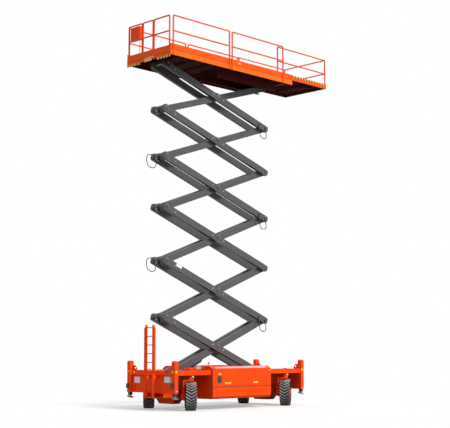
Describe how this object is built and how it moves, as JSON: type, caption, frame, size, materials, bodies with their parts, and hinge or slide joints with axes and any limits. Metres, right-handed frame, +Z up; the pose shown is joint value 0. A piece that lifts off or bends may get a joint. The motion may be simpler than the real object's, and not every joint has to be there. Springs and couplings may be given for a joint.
{
  "type": "scissor lift",
  "caption": "Self-propelled scissor lift on steered wheels, raised, with a railed platform, its deck extension run out, and a jack at each corner.",
  "frame": {"origin": "on the ground, under the middle of the box round the whole machine", "axes": "+X towards the end that the deck extension runs out to, +Y across to the far side, +Z up"},
  "size_m": [8.285, 3.0188, 13.2955],
  "materials": {
    "orange": "gloss",
    "arm_grey": "satin",
    "deck_red": "gloss",
    "pin_zinc": "satin",
    "rod_chrome": "polished",
    "tyre": "matte",
    "iron": "matte"
  },
  "bodies": {
    "chassis": {"tub_floor": "orange", "tub_walls": "orange", "end_plates": "orange", "wheel_bays": "orange", "slide_tracks": "iron", "pivot_brackets": "orange", "chassis_pins": "pin_zinc", "jack_housings": "orange", "axle_beams": "orange", "cabinet_trays": "orange", "engine_and_tank": "iron", "ladder": "orange"},
    "inner_1": {"inner_arms_1": "arm_grey"},
    "outer_1": {"outer_arms_1": "arm_grey", "arm_pins_1": "pin_zinc"},
    "inner_2": {"inner_arms_2": "arm_grey"},
    "outer_2": {"outer_arms_2": "arm_grey", "arm_pins_2": "pin_zinc"},
    "inner_3": {"inner_arms_3": "arm_grey"},
    "outer_3": {"outer_arms_3": "arm_grey", "arm_pins_3": "pin_zinc"},
    "inner_4": {"inner_arms_4": "arm_grey"},
    "outer_4": {"outer_arms_4": "arm_grey", "arm_pins_4": "pin_zinc"},
    "inner_5": {"inner_arms_5": "arm_grey"},
    "outer_5": {"outer_arms_5": "arm_grey", "arm_pins_5": "pin_zinc"},
    "inner_6": {"inner_arms_6": "arm_grey", "top_slide_pin": "pin_zinc"},
    "outer_6": {"outer_arms_6": "arm_grey", "arm_pins_6": "pin_zinc"},
    "platform": {"platform_deck": "deck_red", "platform_rails": "deck_red", "control_panel": "deck_red"},
    "base_slider": {"base_sliders": "iron"},
    "top_slider": {"top_sliders": "pin_zinc"},
    "lift_barrel": {"lift_barrel": "arm_grey"},
    "lift_rod": {"lift_rod": "rod_chrome"},
    "knuckle_rear_near": {"knuckle_rear_near": "orange"},
    "wheel_rear_near": {"rim_rear_near": "orange", "tyre_rear_near": "tyre"},
    "knuckle_rear_far": {"knuckle_rear_far": "orange"},
    "wheel_rear_far": {"rim_rear_far": "orange", "tyre_rear_far": "tyre"},
    "knuckle_front_near": {"knuckle_front_near": "orange"},
    "wheel_front_near": {"rim_front_near": "orange", "tyre_front_near": "tyre"},
    "knuckle_front_far": {"knuckle_front_far": "orange"},
    "wheel_front_far": {"rim_front_far": "orange", "tyre_front_far": "tyre"},
    "jack_leg_rear_near": {"jack_leg_rear_near": "orange"},
    "jack_leg_rear_far": {"jack_leg_rear_far": "orange"},
    "jack_leg_front_near": {"jack_leg_front_near": "orange"},
    "jack_leg_front_far": {"jack_leg_front_far": "orange"},
    "lid_far": {"cabinet_lid_far": "orange"},
    "lid_near": {"cabinet_lid_near": "orange"},
    "gate": {"platform_gate": "deck_red"},
    "extension": {"extension_deck": "deck_red", "extension_rails": "deck_red"}
  },
  "joints": [
    {"name": "lift", "type": "hinge", "parent": "chassis", "child": "inner_1", "pos_m": [-3.4925, 0, 1.1], "axis": [0, -1, 0], "range_deg": [-14.3, 44]},
    {"name": "centre_1", "type": "hinge", "parent": "inner_1", "child": "outer_1", "pos_m": [-1.07173, 0, 2.12826], "axis": [0, -1, 0], "range_deg": [-88, 28.6]},
    {"name": "left_1", "type": "hinge", "parent": "outer_1", "child": "inner_2", "pos_m": [-3.51056, 0, 3.11292], "axis": [0, -1, 0], "range_deg": [-28.6, 88]},
    {"name": "centre_2", "type": "hinge", "parent": "inner_2", "child": "outer_2", "pos_m": [-1.07173, 0, 4.09757], "axis": [0, -1, 0], "range_deg": [-88, 28.6]},
    {"name": "left_2", "type": "hinge", "parent": "outer_2", "child": "inner_3", "pos_m": [-3.52784, 0, 5.0383], "axis": [0, -1, 0], "range_deg": [-28.6, 88]},
    {"name": "centre_3", "type": "hinge", "parent": "inner_3", "child": "outer_3", "pos_m": [-1.07173, 0, 5.97903], "axis": [0, -1, 0], "range_deg": [-88, 28.6]},
    {"name": "left_3", "type": "hinge", "parent": "outer_3", "child": "inner_4", "pos_m": [-3.54433, 0, 6.87553], "axis": [0, -1, 0], "range_deg": [-28.6, 88]},
    {"name": "centre_4", "type": "hinge", "parent": "inner_4", "child": "outer_4", "pos_m": [-1.07173, 0, 7.77203], "axis": [0, -1, 0], "range_deg": [-88, 28.6]},
    {"name": "left_4", "type": "hinge", "parent": "outer_4", "child": "inner_5", "pos_m": [-3.56002, 0, 8.62402], "axis": [0, -1, 0], "range_deg": [-28.6, 88]},
    {"name": "centre_5", "type": "hinge", "parent": "inner_5", "child": "outer_5", "pos_m": [-1.07173, 0, 9.47601], "axis": [0, -1, 0], "range_deg": [-88, 28.6]},
    {"name": "left_5", "type": "hinge", "parent": "outer_5", "child": "inner_6", "pos_m": [-3.5749, 0, 10.2832], "axis": [0, -1, 0], "range_deg": [-28.6, 88]},
    {"name": "centre_6", "type": "hinge", "parent": "inner_6", "child": "outer_6", "pos_m": [-1.07173, 0, 11.0904], "axis": [0, -1, 0], "range_deg": [-88, 28.6]},
    {"name": "platform_level", "type": "hinge", "parent": "outer_6", "child": "platform", "pos_m": [-3.58899, 0, 11.85254], "axis": [0, -1, 0], "range_deg": [-14.3, 44]},
    {"name": "base_slider_turn", "type": "hinge", "parent": "outer_1", "child": "base_slider", "pos_m": [1.34904, 0, 1.1], "axis": [0, -1, 0], "range_deg": [-14.3, 44]},
    {"name": "top_slider_turn", "type": "hinge", "parent": "inner_6", "child": "top_slider", "pos_m": [1.44553, 0, 11.85254], "axis": [0, -1, 0], "range_deg": [-44, 14.3]},
    {"name": "barrel_turn", "type": "hinge", "parent": "chassis", "child": "lift_barrel", "pos_m": [-3.2625, 0, 0.704], "axis": [0, -1, 0], "range_deg": [-13.22, 40.69]},
    {"name": "rod_slide", "type": "slide", "parent": "lift_barrel", "child": "lift_rod", "axis": [0.8322, 0, 0.5545], "range_m": [-0.10578, 0.32549]},
    {"name": "steer_rear_near", "type": "hinge", "parent": "chassis", "child": "knuckle_rear_near", "pos_m": [-3.0725, -1.05, 0], "axis": [0, 0, 1], "range_deg": [-105, 5]},
    {"name": "roll_rear_near", "type": "hinge", "parent": "knuckle_rear_near", "child": "wheel_rear_near", "pos_m": [-3.0725, -1.05, 0.4688], "axis": [-0.766, 0.6428, 0], "continuous": true},
    {"name": "steer_rear_far", "type": "hinge", "parent": "chassis", "child": "knuckle_rear_far", "pos_m": [-3.0725, 1.05, 0], "axis": [0, 0, 1], "range_deg": [-105, 5]},
    {"name": "roll_rear_far", "type": "hinge", "parent": "knuckle_rear_far", "child": "wheel_rear_far", "pos_m": [-3.0725, 1.05, 0.4688], "axis": [-0.766, 0.6428, 0], "continuous": true},
    {"name": "steer_front_near", "type": "hinge", "parent": "chassis", "child": "knuckle_front_near", "pos_m": [1.6475, -1.05, 0], "axis": [0, 0, 1], "range_deg": [-92, 18]},
    {"name": "roll_front_near", "type": "hinge", "parent": "knuckle_front_near", "child": "wheel_front_near", "pos_m": [1.6475, -1.05, 0.4688], "axis": [-0.6018, 0.7986, 0], "continuous": true},
    {"name": "steer_front_far", "type": "hinge", "parent": "chassis", "child": "knuckle_front_far", "pos_m": [1.6475, 1.05, 0], "axis": [0, 0, 1], "range_deg": [-92, 18]},
    {"name": "roll_front_far", "type": "hinge", "parent": "knuckle_front_far", "child": "wheel_front_far", "pos_m": [1.6475, 1.05, 0.4688], "axis": [-0.6018, 0.7986, 0], "continuous": true},
    {"name": "jack_rear_near", "type": "slide", "parent": "chassis", "child": "jack_leg_rear_near", "axis": [0, 0, -1], "range_m": [0, 0.55]},
    {"name": "jack_rear_far", "type": "slide", "parent": "chassis", "child": "jack_leg_rear_far", "axis": [0, 0, -1], "range_m": [0, 0.55]},
    {"name": "jack_front_near", "type": "slide", "parent": "chassis", "child": "jack_leg_front_near", "axis": [0, 0, -1], "range_m": [0, 0.55]},
    {"name": "jack_front_far", "type": "slide", "parent": "chassis", "child": "jack_leg_front_far", "axis": [0, 0, -1], "range_m": [0, 0.55]},
    {"name": "lid_far_hinge", "type": "hinge", "parent": "chassis", "child": "lid_far", "pos_m": [-0.7125, 0.5323, 1.456], "axis": [1, 0, 0], "range_deg": [0, 70]},
    {"name": "lid_near_hinge", "type": "hinge", "parent": "chassis", "child": "lid_near", "pos_m": [-0.7125, -0.5323, 1.456], "axis": [-1, 0, 0], "range_deg": [0, 70]},
    {"name": "gate_hinge", "type": "hinge", "parent": "platform", "child": "gate", "pos_m": [-4.0865, 0.33, 12.29754], "axis": [0, 0, 1], "range_deg": [0, 95]},
    {"name": "extension_slide", "type": "slide", "parent": "platform", "child": "extension", "axis": [1, 0, 0], "range_m": [-2.05, 0]}
  ],
  "couplings": [
    {"joint": "centre_1", "follows": "lift", "ratio": -2},
    {"joint": "left_1", "follows": "lift", "ratio": 2},
    {"joint": "centre_2", "follows": "lift", "ratio": -2},
    {"joint": "left_2", "follows": "lift", "ratio": 2},
    {"joint": "centre_3", "follows": "lift", "ratio": -2},
    {"joint": "left_3", "follows": "lift", "ratio": 2},
    {"joint": "centre_4", "follows": "lift", "ratio": -2},
    {"joint": "left_4", "follows": "lift", "ratio": 2},
    {"joint": "centre_5", "follows": "lift", "ratio": -2},
    {"joint": "left_5", "follows": "lift", "ratio": 2},
    {"joint": "centre_6", "follows": "lift", "ratio": -2},
    {"joint": "platform_level", "follows": "lift", "ratio": 1},
    {"joint": "base_slider_turn", "follows": "lift", "ratio": 1},
    {"joint": "top_slider_turn", "follows": "lift", "ratio": -1},
    {"joint": "barrel_turn", "follows": "lift", "ratio": 0.9247},
    {"joint": "rod_slide", "follows": "lift", "m_per_rad": 0.42384},
    {"joint": "steer_rear_far", "follows": "steer_rear_near", "ratio": 1},
    {"joint": "steer_front_far", "follows": "steer_front_near", "ratio": 1}
  ]
}
